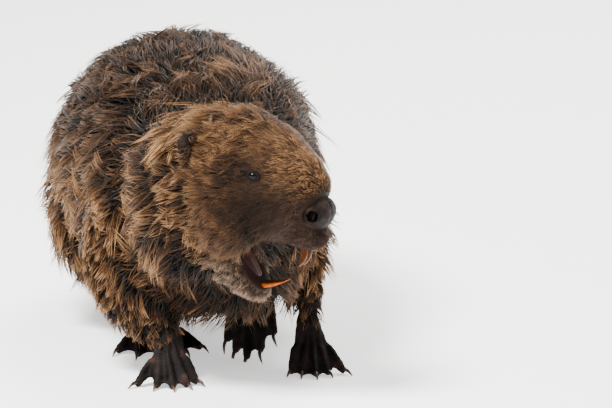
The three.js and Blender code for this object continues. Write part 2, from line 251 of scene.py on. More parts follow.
def only(*objects):
    """Selects these objects and nothing else, with the first one active."""
    bpy.ops.object.select_all(action="DESELECT")
    for piece in objects:
        piece.select_set(True)
    bpy.context.view_layer.objects.active = objects[0]


def apply_modifier(piece, kind, **settings):
    only(piece)
    modifier = piece.modifiers.new(kind.lower(), kind)
    for key, value in settings.items():
        setattr(modifier, key, value)
    bpy.ops.object.modifier_apply(modifier=modifier.name)


def turn_faces_out(piece, merge=False):
    """Points all faces of a closed piece outwards, after its doubles are merged where that is asked."""
    only(piece)
    bpy.ops.object.mode_set(mode="EDIT")
    bpy.ops.mesh.select_all(action="SELECT")
    if merge:
        bpy.ops.mesh.remove_doubles(threshold=1e-5)
    bpy.ops.mesh.normals_make_consistent(inside=False)
    bpy.ops.object.mode_set(mode="OBJECT")


def copy_of(node, name):
    """A merged copy of a solid's mesh, as a new object."""
    piece = add_object(name, nodes[node].data.copy())
    turn_faces_out(piece, merge=True)
    piece.data.materials.clear()
    return piece


def join(pieces, name):
    only(*pieces)
    bpy.ops.object.join()
    bpy.context.object.name = name
    return bpy.context.object


# %% Melt the flesh into one mesh
SKIN_VOXEL = 3.13 * MM
GROWN_BY = 0.35 * MM  # closes the cuts between the solids, which are 0.3 mm wide
copies = [copy_of(node, node + "_copy") for node in PARTS]
face_owner = np.repeat(range(len(copies)), [len(piece.data.polygons) for piece in copies])
skin = join(copies, "skin")
flesh_surface = BVHTree.FromObject(skin, bpy.context.evaluated_depsgraph_get())
apply_modifier(skin, "DISPLACE", strength=GROWN_BY, mid_level=0)
apply_modifier(skin, "REMESH", mode="VOXEL", voxel_size=SKIN_VOXEL)
print("skin:", len(skin.data.vertices), "points")


# %% Meshes as tables of numbers
def table(items, value, columns, kind=np.float32):
    """One value of every item, such as a point's place, as a table with this many columns."""
    flat = np.empty(len(items) * columns, kind)
    items.foreach_get(value, flat)
    return flat.reshape(-1, columns)


def points_of(mesh):
    return table(mesh.vertices, "co", 3).astype(float)


def normals_of(mesh):
    return table(mesh.vertex_normals, "vector", 3).astype(float)


def set_points(mesh, points):
    mesh.vertices.foreach_set("co", points.astype(np.float32).ravel())
    mesh.update()


def set_attribute(mesh, name, values):
    mesh.attributes.new(name, "FLOAT", "POINT").data.foreach_set("value", values.astype(np.float32))


def unit(vectors):
    return vectors / np.maximum(np.linalg.norm(vectors, axis=-1, keepdims=True), 1e-12)


def spread(values, edges, rounds):
    """Evens a value out over the surface: each point takes the mean of itself and its neighbours."""
    values = np.asarray(values, float)
    wide = values.reshape(len(values), -1)
    count = np.bincount(edges.ravel(), minlength=len(values))[:, None] + 1
    for _ in range(rounds):
        total = wide.copy()
        for column in range(wide.shape[1]):
            total[:, column] += np.bincount(edges[:, 0], wide[edges[:, 1], column], len(values))
            total[:, column] += np.bincount(edges[:, 1], wide[edges[:, 0], column], len(values))
        wide = total / count
    return wide.reshape(values.shape)


def ramp(value, start, end):
    """0 before start, 1 after end, and a smooth rise between. start may be the larger one."""
    t = np.clip((np.asarray(value, float) - start) / (end - start), 0, 1)
    return t * t * (3 - 2 * t)


# %% [markdown]
# ## The face's own directions
# The head is turned and dipped, so everything on it is placed in its own frame: millimetres to the left,
# forwards and up from the midpoint of the eyes. The two eyes and the nose give that frame.

# %% Head frame
eyes_middle = (middle_of("eye_left") + middle_of("eye_right")) / 2
to_left = (middle_of("eye_left") - middle_of("eye_right")).normalized()
to_nose = middle_of("nose") - eyes_middle
to_nose = (to_nose - to_nose.dot(to_left) * to_left).normalized()
NOSE_BELOW_EYES = math.radians(30.5)
forwards = to_nose * math.cos(NOSE_BELOW_EYES) + to_nose.cross(to_left) * math.sin(NOSE_BELOW_EYES)
upwards = forwards.cross(to_left)
head_axes = np.array([to_left, forwards, upwards])


def in_head(p):
    """Points as millimetres to the left, forwards and up from between the eyes."""
    return (np.asarray(p, float) - np.array(eyes_middle)) @ head_axes.T / MM


def from_head(p):
    return np.array(eyes_middle) + np.asarray(p, float) * MM @ head_axes


EYE_AT = in_head(middle_of("eye_left"))[0]
NOSE_AT = in_head(middle_of("nose"))
EAR_AT = in_head(middle_of("ear_left"))
print("nose:", NOSE_AT.round(1), "ear:", EAR_AT.round(1), "eye:", round(EYE_AT, 1), "mm")

# %% Which part each point of the skin belongs to
points = points_of(skin.data)
edges = table(skin.data.edges, "vertices", 2, np.int32)
part = np.array([face_owner[flesh_surface.find_nearest(Vector(p))[2]] for p in points])
growth = np.array([FLESH[name] for name in PARTS])[part]


def on_parts(*starts):
    """1 at the points of the parts whose names begin like this, 0 elsewhere."""
    return np.array([float(name.startswith(starts)) for name in PARTS])[part]


print("points per part:", {name: int((part == i).sum()) for i, name in enumerate(PARTS)})


# %% Smooth the facets away
def smooth(share, rounds):
    before = points.copy()
    for _ in range(rounds):
        points[:] += (spread(points, edges, 1) - points) * share[:, None]
    print("smoothing moved points by up to", round(np.abs(points - before).max() / MM, 1), "mm")


NAPE_AT, NAPE_WIDTH = -92, 26  # forwards of the eyes; the head's solid meets the neck's there
smooth(spread(growth[:, 3], edges, 6), 26)
nape = np.exp(-(((in_head(points)[:, 1] - NAPE_AT) / NAPE_WIDTH) ** 2))
smooth(spread(nape * on_parts("head", "neck", "trunk", "lower_jaw"), edges, 4), 70)
set_points(skin.data, points)

# %% [markdown]
# ## Markings and lengths of the coat
# The coat is golden and long behind the crown, short and nearly black round the eye, and on the muzzle a
# dark velvet a few millimetres long. These are plain functions of the place on the head or body, kept on
# the skin as attributes, so that the same values colour the skin and the locks that are rooted in it.

# %% Regions of the face
left, front, up = in_head(points).T
side = np.abs(left)
on_face = spread(on_parts("head", "lower_jaw"), edges, 3)
on_ear = on_parts("ear")
normal = normals_of(skin.data)
faces_up = normal @ np.array(upwards)


def near(place, radius):
    """1 at a place of the head, mirrored to both sides, and falling off to 0 at twice the radius."""
    away = np.linalg.norm(np.stack([side, front, up], 1) - np.asarray(place, float), axis=1)
    return np.exp(-((away / radius) ** 2))


around_eye = near((EYE_AT, 0, 0), 11)
around_ear = near(EAR_AT, 20)
muzzle = on_face * ramp(front - 0.55 * up + 0.1 * side, 52, 66) * ramp(up, 2, -22) * ramp(up, -88, -72)
mouth_roof = on_parts("head") * ramp(-faces_up, 0.25, 0.7) * ramp(up, -60, -68) * ramp(side, 26, 18)
mouth_floor = on_parts("lower_jaw") * ramp(faces_up, 0.1, 0.6) * ramp(side, 24, 17) * ramp(front, -60, -45)
mouth = spread(np.maximum(mouth_roof, mouth_floor), edges, 2)
chin = spread(on_parts("lower_jaw"), edges, 4) * ramp(front, -44, -16) * (1 - mouth)
crown = on_face * ramp(front, -25, -75) * ramp(up, -5, 25)
fringe = on_parts("neck", "trunk") * np.exp(-(((front + 105) / 34) ** 2)) * ramp(up, -35, 5)
fringe = spread(np.maximum(fringe, crown), edges, 8)
print("points on the muzzle and in the mouth:", *(int((r > 0.5).sum()) for r in (muzzle, mouth)))

# %% Depth and length of the coat
# All in mm. Bare parts stay thin-skinned even where the coat beside them is deep.
BARE_DEPTH = 1.2
depth = spread(growth[:, 0], edges, 10)
depth = np.where(growth[:, 0] < BARE_DEPTH, np.minimum(depth, 1.5), depth)
length = spread(growth[:, 1], edges, 12)
face_length = np.interp(front, [-85, -45, -10, 30, 52], [35, 31, 25, 17, 7])
on_skull = spread(on_parts("head"), edges, 8)
length = length * (1 - on_skull) + face_length * on_skull
depth = depth * (1 - on_skull) + np.interp(front, [-80, -30, 10, 50], [10, 7, 3.8, 1.6]) * on_skull
length = length * (1 - 0.72 * around_eye) * (1 - 0.6 * around_ear) * (1 - 0.55 * muzzle)
depth = depth * (1 - 0.75 * around_eye) * (1 - 0.35 * muzzle)
length = length * (1 - 0.35 * chin) + 15 * fringe
depth = np.where(mouth > 0.5, 0.4, depth)
length = np.where(on_ear > 0, 3.0, length)
length[growth[:, 1] == 0] = 0
density = spread(growth[:, 2], edges, 3) * (1 + 2.2 * muzzle + 1.6 * around_eye)
density[growth[:, 1] == 0] = 0
density[mouth > 0.3] = 0
points -= normals_of(skin.data) * (depth * MM)[:, None]
print("coat: up to", round(depth.max(), 1), "mm deep, hair up to", round(length.max(), 1), "mm long")

# %% Part the toes
# A crease runs back from between each two claws, so that the toes show as separate under the skin.
CREASE_DEPTH = {"fore": 5.0 * MM, "hind": 2.5 * MM}
THINNEST_WEB = 2.2 * MM
FEET = [(end, name) for end in ("fore", "hind") for name in ("left", "right")]
normal = normals_of(skin.data)
for end, name in FEET:
    low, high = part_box(f"{end}_foot_{name}")
    heel = np.array([(low.x + high.x) / 2, high.y])
    claws = np.array([middle_of(f"{end}_claw_{name}_{i}").to_2d() for i in range(1, 6)]) - heel
    toe_angles = np.sort(np.arctan2(claws[:, 0], -claws[:, 1]))
    off_heel = points[:, :2] - heel
    toe = np.interp(np.arctan2(off_heel[:, 0], -off_heel[:, 1]), toe_angles, range(5))
    between = 2 * np.abs(toe - np.round(toe))
    outwards = np.linalg.norm(off_heel, axis=1) / np.linalg.norm(claws, axis=1).mean()
    crease = ramp(between, 0.3, 1) * ramp(outwards, 0.3, 0.6) * on_parts(f"{end}_foot_{name}")
    crease = crease * ramp(normal[:, 2], 0.0, 0.5)
    lowered = points - normal * (CREASE_DEPTH[end] * crease)[:, None]
    lowered[:, 2] = np.maximum(lowered[:, 2], np.minimum(points[:, 2], THINNEST_WEB))
    points = np.where(crease[:, None] > 0, lowered, points)
    print(end, name, "crease points:", int((crease > 0.2).sum()))

# %% Make room for the nose pad
# The front of the muzzle is drawn in to just under the bare pad, which then stands proud of the skin.
PAD_SIZES = np.array([24.5, 19.0, 18.0])
PAD_BACK = 4.0  # how far the pad's middle lies behind the solid's
PAD_AT = NOSE_AT * [0, 1, 1] + [0, -PAD_BACK, 0.5]
NOSTRIL_AT = Vector((22.3, 7.2, 1.5))  # of the left one, from the pad's middle
NOSTRIL_ROOM = 0.5  # how much deeper the skin sinks behind a nostril, as a share of the pad


def off_nostril(co):
    """How far points are from the line through the pad's middle and the nostril on their side."""
    on_one_side = np.abs(co) * [1, 0, 0] + co * [0, 1, 1]
    return np.linalg.norm(np.cross(on_one_side, np.array(NOSTRIL_AT.normalized())), axis=1)


from_pad = in_head(points) - PAD_AT
size_share = np.linalg.norm(from_pad / PAD_SIZES, axis=1)
draw_in = ramp(front - 0.5 * np.abs(up - PAD_AT[2]), 38, 48) * ramp(up, -53, -47)
draw_in = draw_in * (size_share > 0.95) * (on_face > 0.5)
share = 0.95 - NOSTRIL_ROOM * ramp(off_nostril(from_pad), 12, 7.5)
snug = PAD_AT + from_pad * (share / np.maximum(size_share, 0.1))[:, None]
density[draw_in > 0.6] = 0
points += (from_head(snug) - points) * spread(draw_in, edges, 2)[:, None]
set_points(skin.data, points)
print("points drawn in behind the pad:", int((draw_in > 0.5).sum()))

# %% Colour of the coat
height = points[:, 2]
flank = ramp(np.abs(normal[:, 0]), 0.35, 0.9) * ramp(height, 0.26, 0.16)
gold = 0.2 + 0.48 * flank + 0.2 * fringe + 0.18 * on_face * ramp(side, 60, 10) * ramp(up, -20, 0)
gold = gold + 0.2 * on_face * ramp(front, 5, -20) + 0.25 * on_face * ramp(front, 8, 30) * ramp(up, -26, -10)
gold = gold - 0.1 * on_parts("neck") * ramp(height, 0.2, 0.14) - 0.35 * near((40, -12, -38), 30)
gold = gold + 0.12 * on_parts("fore_leg_right")
gold = spread(np.clip(gold * (1 - around_eye), 0, 1), edges, 3)
dark = np.clip(near((EYE_AT, 2, 2), 12) + near((42, 24, -26), 30) + 0.8 * on_ear + near(EAR_AT, 11), 0, 1)
dark = spread(np.maximum(dark, 0.4 * on_parts("fore_leg_left") * ramp(height, 0.13, 0.05)), edges, 2)
bare = spread(on_parts("fore_foot", "hind_foot", "ear"), edges, 1)
tail = spread(on_parts("tail_blade"), edges, 1)
MARKINGS = dict(gold=gold, dark=dark, velvet=muzzle, chin=chin, bare=bare, mouth=mouth, tail=tail)
for name, values in MARKINGS.items():
    set_attribute(skin.data, name, values)
print({name: round(float(values.mean()), 3) for name, values in MARKINGS.items()})

# %% [markdown]
# ## The coat
# Wet beaver hair hangs together in pointed locks. Hair curves aren't mesh, so each lock here is a small
# solid wedge with a ridge, rooted under the skin and bent over along the lie of the coat. Neighbours lean
# towards a shared guide lock, which parts the coat into clumps. A few long, thin hairs stand free.


# %% The lie of the coat
def turned(vectors, axes, angles):
    """Vectors turned about unit axes that are square to them."""
    return vectors * np.cos(angles)[:, None] + np.cross(axes, vectors) * np.sin(angles)[:, None]


def wander(places, wavelength, seed):
    """A smooth value between about -1 and 1 that changes over a wavelength: six crossing waves."""
    draw = np.random.default_rng(seed)
    waves = unit(draw.normal(size=(6, 3))) * 2 * math.pi / wavelength
    return np.sin(places @ waves.T + draw.uniform(0, 2 * math.pi, 6)).mean(1) * 1.6


def lie_of_coat():
    """For each point of the skin, the direction in which its hair lies, as a unit vector along the skin."""
    lie = np.tile([0.0, 1.0, 0.0], (len(points), 1))
    lie[:, 2] -= 0.32 * np.abs(normal[:, 0]) + 0.06 + 0.5 * ramp(points[:, 2], 0.15, 0.06)
    face = np.tile(-head_axes[1], (len(points), 1))
    face += np.outer(np.sign(left) * (0.25 + 0.35 * ramp(up, -10, 40)), head_axes[0])
    face -= np.outer(0.75 * ramp(up, -12, -45), head_axes[2])
    away = np.stack([left - np.sign(left) * EYE_AT, front, up], 1) @ head_axes
    face += unit(away) * (1.4 * around_eye)[:, None]
    down_legs, down_rump = (0.0, 0.1, -1.0), (0.0, 0.8, -0.6)
    lie = np.where(on_parts("head", "lower_jaw", "ear")[:, None] > 0, face, lie)
    lie = np.where(on_parts("fore_", "hind_")[:, None] > 0, down_legs, lie)
    lie = np.where(on_parts("tail_base")[:, None] > 0, down_rump, lie)
    lie = spread(unit(lie), edges, 18)
    lie -= normal * (lie * normal).sum(1, keepdims=True)
    return unit(lie)


normal = normals_of(skin.data)
lie = lie_of_coat()
restless = (1 - 0.6 * on_skull) * (1 - 0.5 * on_parts("fore_leg", "tail_base"))
lie = turned(lie, normal, (0.5 * wander(points, 0.11, 1) + 0.35 * wander(points, 0.045, 2)) * restless)
print("the coat lies", "along the skin" if abs((lie * normal).sum(1)).max() < 1e-6 else "askew")

# %% Unwrap the skin
only(skin)
bpy.ops.object.mode_set(mode="EDIT")
bpy.ops.mesh.select_all(action="SELECT")
bpy.ops.uv.smart_project(angle_limit=math.radians(66), island_margin=0.002)
bpy.ops.object.mode_set(mode="OBJECT")
skin.data.uv_layers.active.name = "OFBake"
print("unwrapped:", len(skin.data.uv_layers["OFBake"].uv), "corners")


# %% Roots
def corner_table():
    """The skin's triangles: their three points, their corners' places on the unwrap, and their areas."""
    skin.data.calc_loop_triangles()
    triangles = table(skin.data.loop_triangles, "vertices", 3, np.int32)
    loops = table(skin.data.loop_triangles, "loops", 3, np.int32)
    a, b, c = (points[triangles[:, k]] for k in range(3))
    area = np.linalg.norm(np.cross(b - a, c - a), axis=1) / 2
    return triangles, table(skin.data.uv_layers["OFBake"].uv, "vector", 2)[loops], area


triangles, unwrap, area = corner_table()
print("skin:", len(triangles), "triangles,", round(area.sum(), 3), "square metres")


class Roots:
    """Places scattered over the skin, with the skin's values there."""

    def __init__(self, count, wanted):
        chance = area * wanted[triangles].mean(1)
        self.triangle = rng.choice(len(area), count, p=chance / chance.sum())
        u, v = rng.random((2, count))
        u, v = np.where(u + v > 1, (1 - u, 1 - v), (u, v))
        self.weights = np.stack([1 - u - v, u, v], 1)
        self.count = count
        self.place = self.of(points)
        self.out = unit(self.of(normal))
        self.shade = rng.random(count)
        self.home = (unwrap[self.triangle] * self.weights[:, :, None]).sum(1)

    def of(self, values):
        """A value of the skin's points, at each root."""
        picked = values[triangles[self.triangle]]
        return (picked * self.weights.reshape(-1, 3, *[1] * (values.ndim - 1))).sum(1)


# %% The line that a lock follows
box_low, box_high = np.array(cad_box)
MOST_OUTSIDE = 14 * MM  # how far a hair may stand out of the solids' box


def lock_lines(roots, steps, sway, longer=1.0, lift=1.0):
    """The centre line of each lock: steps + 1 points from its root to its tip."""
    t = np.linspace(0, 1, steps + 1)[None, :, None]
    along = turned(unit(roots.of(lie)), roots.out, rng.normal(0, sway, roots.count))
    aside = np.cross(roots.out, along)
    reach = roots.of(length) * MM * rng.uniform(0.7, 1.25, roots.count) * longer
    rise = roots.of(depth) * MM * rng.uniform(0.45, 1.25, roots.count) * lift + 0.4 * MM
    rise = rise * (1 + 1.3 * roots.of(fringe) * rng.random(roots.count))
    bend = rng.normal(0, 0.10, roots.count) * reach
    curl = rng.normal(0, 0.05, roots.count) * reach
    line = roots.place[:, None] - roots.out[:, None] * 1.2 * MM * (1 - t)
    line = line + along[:, None] * reach[:, None, None] * (t - 0.14 * t * (1 - t))
    line = line + roots.out[:, None] * rise[:, None, None] * (1 - (1 - t) ** 2.1)
    line = line + aside[:, None] * (bend[:, None, None] * t**2 + curl[:, None, None] * np.sin(5 * t))
    line[:, :, 2] -= 0.10 * reach[:, None] * t[0, :, 0] ** 2
    line = np.clip(line, box_low - MOST_OUTSIDE, box_high + MOST_OUTSIDE)
    line[:, :, 2] = np.maximum(line[:, :, 2], 1.5 * MM)
    return line


def gathered(line, roots, guides, guide_lines, least, most):
    """Leans each lock towards its nearest guide lock, more and more towards the tip, and gives the locks
    of one guide much the same shade."""
    tree = KDTree(guides.count)
    for i, place in enumerate(guides.place):
        tree.insert(place, i)
    tree.balance()
    nearest = np.array([tree.find(place)[1] for place in roots.place])
    roots.shade = np.clip(0.55 * roots.shade + 0.7 * rng.random(guides.count)[nearest] - 0.125, 0, 1)
    t = np.linspace(0, 1, line.shape[1])[None, :, None]
    pull = rng.uniform(least, most, roots.count)[:, None, None] * t**1.15
    return line + (guide_lines[nearest] - line) * pull


# %% Build locks as one mesh
def lock_mesh(name, roots, line, half_width, picked):
    """Joins the picked locks into one object. Each ring is left edge, ridge and right edge."""
    line = line[picked]
    count, steps = len(line), line.shape[1] - 1
    t = np.linspace(0, 1, steps + 1)
    along = unit(np.gradient(line, axis=1))
    across = unit(np.cross(along, roots.out[picked][:, None]))
    ridge = np.cross(across, along)
    taper = (1 - t[:steps] ** 1.7)[None, :, None] * 0.9 + 0.1
    half = half_width[picked][:, None, None] * taper
    base = line[:, :steps]
    sideways = across[:, :steps] * half
    rings = np.stack([base - sideways, base + ridge[:, :steps] * half * 0.8, base + sideways], 2)
    co = np.concatenate([rings.reshape(count, -1, 3), line[:, -1:]], 1)
    per_lock = steps * 3 + 1
    last = per_lock - 4
    walls = [
        (3 * k + j, 3 * k + (j + 1) % 3, 3 * k + 3 + (j + 1) % 3, 3 * k + 3 + j)
        for k in range(steps - 1)
        for j in range(3)
    ]
    ends = [(last + j, last + (j + 1) % 3, per_lock - 1) for j in range(3)] + [(0, 2, 1)]
    start = (np.arange(count) * per_lock)[:, None, None]
    quads = (np.array(walls)[None] + start).reshape(-1, 4)
    tips = (np.array(ends)[None] + start).reshape(-1, 3)
    corners = np.concatenate([quads.ravel(), tips.ravel()]).astype(np.int32)
    starts = np.concatenate([np.arange(len(quads)) * 4, quads.size + np.arange(len(tips)) * 3])
    mesh = bpy.data.meshes.new(name)
    mesh.vertices.add(count * per_lock)
    mesh.loops.add(len(corners))
    mesh.polygons.add(len(starts))
    mesh.vertices.foreach_set("co", co.astype(np.float32).ravel())
    mesh.loops.foreach_set("vertex_index", corners)
    mesh.polygons.foreach_set("loop_start", starts.astype(np.int32))
    mesh.update(calc_edges=True)
    mesh.validate()
    add_lock_values(mesh, roots, picked, corners, t[:steps])
    mesh.shade_smooth()
    return add_object(name, mesh)


PATCH = 0.003  # how much of the unwrap a lock takes up


def add_lock_values(mesh, roots, picked, corners, t):
    """Each lock's patch on the unwrap, and what its material reads: the markings, and its own shade."""
    step = np.append(np.repeat(t, 3), 1)
    across = np.append(np.tile([0.0, 0.5, 1.0], len(t)), 0.5)
    patch = np.stack([across, step], 1)[None] * PATCH - PATCH / 2
    place = np.clip(roots.home[picked][:, None] + patch, 0, 1).reshape(-1, 2)
    layer = mesh.uv_layers.new(name="OFBake")
    layer.uv.foreach_set("vector", place[corners].astype(np.float32).ravel())
    per_lock, count = len(step), len(picked)
    set_attribute(mesh, "along", np.tile(step, count))
    set_attribute(mesh, "across", np.tile(across, count))
    set_attribute(mesh, "shade", np.repeat(roots.shade[picked], per_lock))
    for name in ("gold", "dark", "velvet", "chin"):
        set_attribute(mesh, name, np.repeat(roots.of(MARKINGS[name])[picked], per_lock))


# %% [markdown]
# ## The colour of hair
# Each guard hair is brown along its middle and often golden at its tip, and wet it is darker. Its root end
# is nearly black, partly its own dark base and partly painted shade that darkens the gaps between clumps.
# One function makes these colours from the markings, for both the skin and the locks, so that a gap in the
# coat never shows a wrong colour.


# %% Colours of the coat
def coat_colour(tree, along, tone):
    """Hair colour. along runs from 0 at the root to 1 at the tip; tone from 0 to 1 is a lock's own."""
    # The near-black root ends are partly the wet hair's own dark base and partly painted shade, which
    # darkens the gaps between clumps where roots show.
    brown_stops = ((0.0, "#050403"), (0.45, "#120C07"), (0.75, "#301E12"), (1.0, "#7C583A"))
    golden_stops = ((0.0, "#080503"), (0.4, "#20150B"), (0.72, "#6E4A29"), (1.0, "#E8B480"))
    brown = add_node(tree, "ValToRGB", stops=brown_stops, Fac=along)
    golden = add_node(tree, "ValToRGB", stops=golden_stops, Fac=along)
    gold_here = add_node(tree, "Attribute", {"attribute_name": "gold"}, output="Fac")
    more_gold = add_node(tree, "Math", {"operation": "SUBTRACT"}, i0=gold_here, i1=tone)
    to_share = {"operation": "MULTIPLY_ADD", "use_clamp": True}
    is_gold = add_node(tree, "Math", to_share, i0=more_gold, i1=4.0, i2=0.5)
    colour = add_node(tree, "Mix", {"data_type": "RGBA"}, output=2, i0=is_gold, i6=brown, i7=golden)
    for name, root, tip in (
        ("dark", "#080605", "#2C2018"),
        ("chin", "#2A211B", "#8C7460"),
        ("velvet", "#140E0C", "#48352B"),
    ):
        marked = add_node(tree, "ValToRGB", stops=((0.0, root), (1.0, tip)), Fac=along)
        colour = covered(tree, colour, name, marked)
    brightness = add_node(tree, "MapRange", Value=tone, To_Min=0.25, To_Max=1.85)
    return add_node(tree, "HueSaturation", Value=brightness, Color=colour)


# Wet guard hair: dark, with a soft gleam along each lock. Fine stripes across a lock are its single hairs;
# real ones are 0.1 mm thick, and these are drawn a few times coarser so that they show.
guard_hair, tree, shader = new_material("wet guard hair", Roughness=0.42, IOR=1.5, Specular_IOR_Level=0.12)
HAIRS_ACROSS_A_LOCK = 7
along = add_node(tree, "Attribute", {"attribute_name": "along"}, output="Fac")
tone = add_node(tree, "Attribute", {"attribute_name": "shade"}, output="Fac")
across = add_node(tree, "Attribute", {"attribute_name": "across"}, output="Fac")
stripe = add_node(tree, "Math", {"operation": "MULTIPLY"}, i0=across, i1=HAIRS_ACROSS_A_LOCK)
own = add_node(tree, "Math", {"operation": "MULTIPLY"}, i0=tone, i1=250.0)
where = add_node(tree, "CombineXYZ", X=stripe, Y=along, Z=own)
strands = add_node(tree, "TexNoise", Vector=where, Scale=1.0, Detail=2.0)
strand_light = add_node(tree, "MapRange", Value=strands, From_Min=0.3, From_Max=0.7, To_Min=0.7, To_Max=1.25)
hair = add_node(tree, "HueSaturation", Value=strand_light, Color=coat_colour(tree, along, tone))
relief = add_node(tree, "Bump", Height=strands, Strength=0.5, Distance=0.4 * MM)
wire(shader, Base_Color=hair, Normal=relief)

# %% [markdown]
# ## Growing the coat
# Long locks cover the body, the legs and the back of the head, and short ones the face. Guide locks set
# the clumps, about a centimetre apart on the body and half that on the face. A short lock needs fewer
# rings, which keeps the whole coat to about a million triangles, in several pieces.

# %% Long locks on the body
LONG_LOCKS, LONG_STEPS = 26000, 4
SHORT_LOCKS, SHORT_STEPS = 38000, 2
is_face = spread(on_parts("head", "lower_jaw", "ear"), edges, 2) * ramp(front + 0.3 * up, -62, -40)
body_density = density * (is_face < 0.5)
face_density = density * (is_face >= 0.5) * (1 + 0.5 * ramp(front, -20, 20) * (1 - muzzle))

body_guides = Roots(3300, body_density)
body_guide_lines = lock_lines(body_guides, LONG_STEPS, 0.40, longer=1.08)
body = Roots(LONG_LOCKS, body_density)
body_lines = lock_lines(body, LONG_STEPS, 0.22)
body_lines = gathered(body_lines, body, body_guides, body_guide_lines, 0.6, 1.0)
body_width = 1.0 * MM * (0.5 + 0.5 * np.clip(body.of(length) / 38, 0.2, 1.2))
body_width = body_width * rng.uniform(0.6, 1.3, LONG_LOCKS)
print("locks on the body:", LONG_LOCKS, "in", body_guides.count, "clumps")

# %% Short locks on the face
face_guides = Roots(2000, face_density)
face_guide_lines = lock_lines(face_guides, SHORT_STEPS, 0.4, longer=1.1)
face = Roots(SHORT_LOCKS, face_density)
face_lines = lock_lines(face, SHORT_STEPS, 0.2)
on_cheek = ramp(face.of(front), 15, -25)
least, most = 0.05 + 0.3 * on_cheek, 0.5 + 0.45 * on_cheek
face_lines = gathered(face_lines, face, face_guides, face_guide_lines, least, most)
face_width = 0.5 * MM * (0.45 + 0.55 * np.clip(face.of(length) / 22, 0.15, 1.2))
face_width = face_width * rng.uniform(0.6, 1.3, SHORT_LOCKS)
print("locks on the face:", SHORT_LOCKS, "in", face_guides.count, "clumps")

# %% Single hairs that stand free
# Real ones are 0.1 mm thick; these are drawn several times thicker, so that they show.
LOOSE_HAIRS = 4200
loose = Roots(LOOSE_HAIRS, density * (1 - np.clip(muzzle + around_eye, 0, 1)) * (length > 8))
loose_lines = lock_lines(loose, 2, 0.4, longer=1.0, lift=1.25)
loose_width = 0.36 * MM * rng.uniform(0.7, 1.3, LOOSE_HAIRS)


# %% Make the pieces
def finish_piece(piece, material, slot, *replaced):
    """Gives a piece its material, puts it on the root body and hides the solids it replaces. slot is not
    used.
    """
    piece.data.materials.clear()
    piece.data.materials.append(material)
    if replaced:
        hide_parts(*replaced)
    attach(piece, "root")
    piece.data.calc_loop_triangles()
    print(piece.name, len(piece.data.loop_triangles), "triangles")


def grow(name, roots, lines, width, pieces, slot):
    """Makes the locks into several pieces, cut across the body so that each stays small."""
    order = np.argsort(roots.place[:, 1], kind="stable")
    for k, picked in enumerate(np.array_split(order, pieces)):
        finish_piece(lock_mesh(f"{name}_{k + 1}", roots, lines, width, picked), guard_hair, slot)


grow("body_coat", body, body_lines, body_width, 4, "body_coat")
grow("face_coat", face, face_lines, face_width, 2, "face_coat")
grow("loose_hairs", loose, loose_lines, loose_width, 1, "body_coat")

# %% [markdown]
# ## The skin's finish
# Between the locks the skin shows only as dark, dense underfur, painted nearly black, which is partly its
# own dark tone and partly painted shade in the gaps of the coat. On the feet and ears it is bare, black and
# leathery, with fine wrinkles and reddish patches, and in the mouth it is wet dark flesh. One material
# carries them all and reads the same markings as the coat.

# %% Skin material
# Bare skin is soft leather: matt, with a slight wet gleam where the grain is smooth.
hide, tree, shader = new_material("dark wet skin and underfur", Roughness=0.6, Specular_IOR_Level=0.06)
here = add_node(tree, "TexCoord", output="Object")
BLOTCH, WRINKLE, GRAIN = 9 * MM, 1.6 * MM, 0.9 * MM
blotches = add_node(tree, "TexNoise", Vector=here, Scale=0.5 / BLOTCH, Detail=3.0)
wrinkles = add_node(tree, "TexVoronoi", {"feature": "DISTANCE_TO_EDGE"}, Vector=here, Scale=0.7 / WRINKLE)
# The skin takes the colour of hair near its root, nearly black: partly dark underfur, partly painted shade
# in the gaps between locks.
underfur = coat_colour(tree, 0.22, blotches)
leather_stops = ((0.25, "#080606"), (0.5, "#120E0D"), (0.63, "#1A1412"), (0.74, "#33201B"))
flesh_stops = ((0.3, "#120807"), (0.7, "#281411"))
groove_stops = ((0.3, "#100E0D"), (0.7, "#211D1B"))
colour = underfur
for name, stops in (("bare", leather_stops), ("mouth", flesh_stops), ("tail", groove_stops)):
    colour = covered(tree, colour, name, add_node(tree, "ValToRGB", stops=stops, Fac=blotches))
wire(shader, Base_Color=colour)
creases = add_node(tree, "MapRange", Value=wrinkles, From_Max=0.25)
relief = add_node(tree, "Bump", Height=creases, Strength=0.35, Distance=0.5 * MM)
grain = add_node(tree, "TexNoise", Vector=here, Scale=0.5 / GRAIN, Detail=3.0)
pores = add_node(tree, "Bump", Height=grain, Strength=0.4, Distance=0.4 * MM, Normal=relief)
wire(shader, Normal=pores)
only(skin)
bpy.ops.object.shade_smooth()
finish_piece(skin, hide, "body_coat", *PARTS)

# %% [markdown]
# ## Eyes
# A beaver's eye is small and dark, in a rim of bare black skin. The ball is a sphere whose front bulges a
# little, as a cornea does, with an iris and a pupil as rings about the line of sight. The rim is a torus,
# squashed to the shape of the opening and sunk into the skin.


# %% Helpers for pieces on the head
def sphere(name, sizes, segments, rings):
    """A ball of these half sizes in mm, at the origin, as the active object."""
    ball = started(name, bpy.ops.mesh.primitive_uv_sphere_add, segments=segments, ring_count=rings, radius=1)
    bpy.ops.transform.resize(value=sizes)
    bpy.ops.object.transform_apply(scale=True)
    return ball


def facing(gaze):
    """A turn that takes +Z to the direction of gaze and keeps X level."""
    z = Vector(gaze).normalized()
    x = Vector((0, 0, 1)).cross(z).normalized()
    return Matrix((x, z.cross(x), z)).transposed().to_4x4()


def place_on_head(piece, at, turn=Matrix.Identity(4)):
    """Takes a piece modelled in mm about the origin, x to the left, y forwards and z up, to the head."""
    axes = Matrix([list(row) for row in head_axes.T]).to_4x4()
    piece.data.transform(Matrix.Translation(Vector(from_head(at))) @ axes @ Matrix.Scale(MM, 4) @ turn)
    turn_faces_out(piece)
    bpy.ops.object.shade_smooth()


